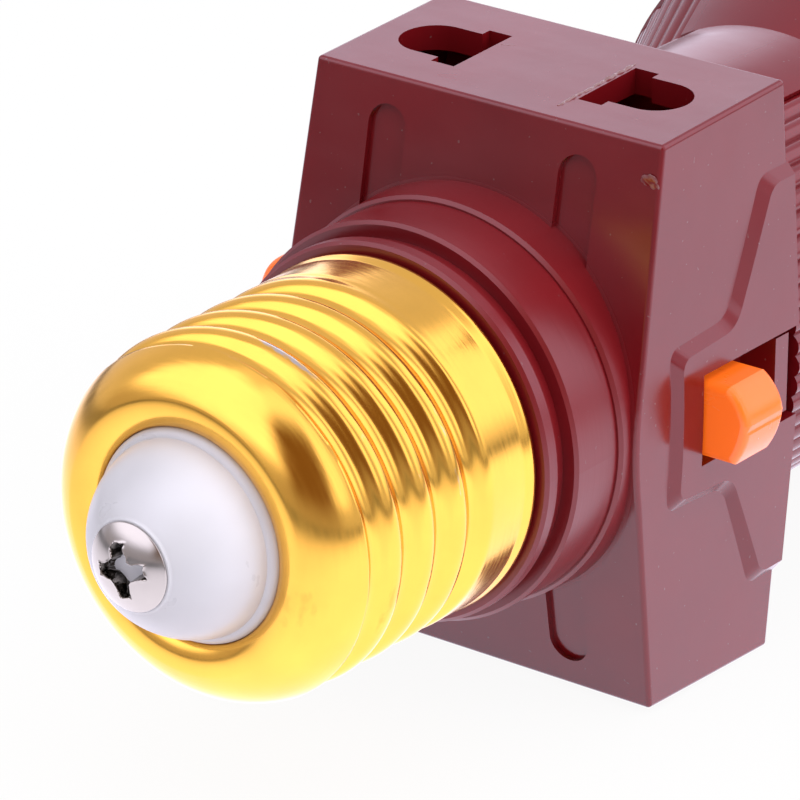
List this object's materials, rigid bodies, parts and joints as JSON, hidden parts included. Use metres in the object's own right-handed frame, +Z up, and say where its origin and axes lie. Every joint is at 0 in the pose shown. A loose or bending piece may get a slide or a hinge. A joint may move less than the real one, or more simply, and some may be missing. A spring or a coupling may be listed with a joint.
{
  "type": "lamp holder adaptor",
  "caption": "Lamp holder that screws into a socket, with flat and round pin outlets above and below, a push-bar switch through the block and a ribbed, flared lamp socket behind.",
  "frame": {"origin": "on the lamp axis, at the rim of the brass screw shell", "axes": "+Y along the lamp axis from the screw base to the lamp, +X along the push bar, +Z up"},
  "size_m": [0.0443, 0.091, 0.0436],
  "materials": {
    "maroon_plastic": "glossy moulded",
    "orange_plastic": "glossy moulded",
    "shell_brass": "bright pressed",
    "strip_brass": "plain stamped",
    "nickel_steel": "nickel plated",
    "white_insulator": "smooth white"
  },
  "bodies": {
    "holder": {"main_housing": "maroon_plastic", "rear_cover": "maroon_plastic", "screw_shell": "shell_brass", "base_insulator": "white_insulator", "contact_screw": "nickel_steel", "contact_washer": "nickel_steel", "contact_nut": "nickel_steel", "line_strip": "strip_brass", "switch_blade": "strip_brass", "live_strip": "strip_brass", "neutral_strip": "strip_brass", "neutral_link": "strip_brass", "detent_spring": "nickel_steel", "socket_insulator": "white_insulator", "socket_shell": "shell_brass", "lamp_contact": "strip_brass", "lamp_contact_rivet": "strip_brass", "shell_rivets": "strip_brass", "cover_screws": "nickel_steel"},
    "bar": {"push_bar": "orange_plastic", "bridge_contact": "strip_brass"}
  },
  "joints": [
    {"name": "bar_slide", "type": "slide", "parent": "holder", "child": "bar", "axis": [1, 0, 0], "range_m": [0, 0.0037]}
  ]
}
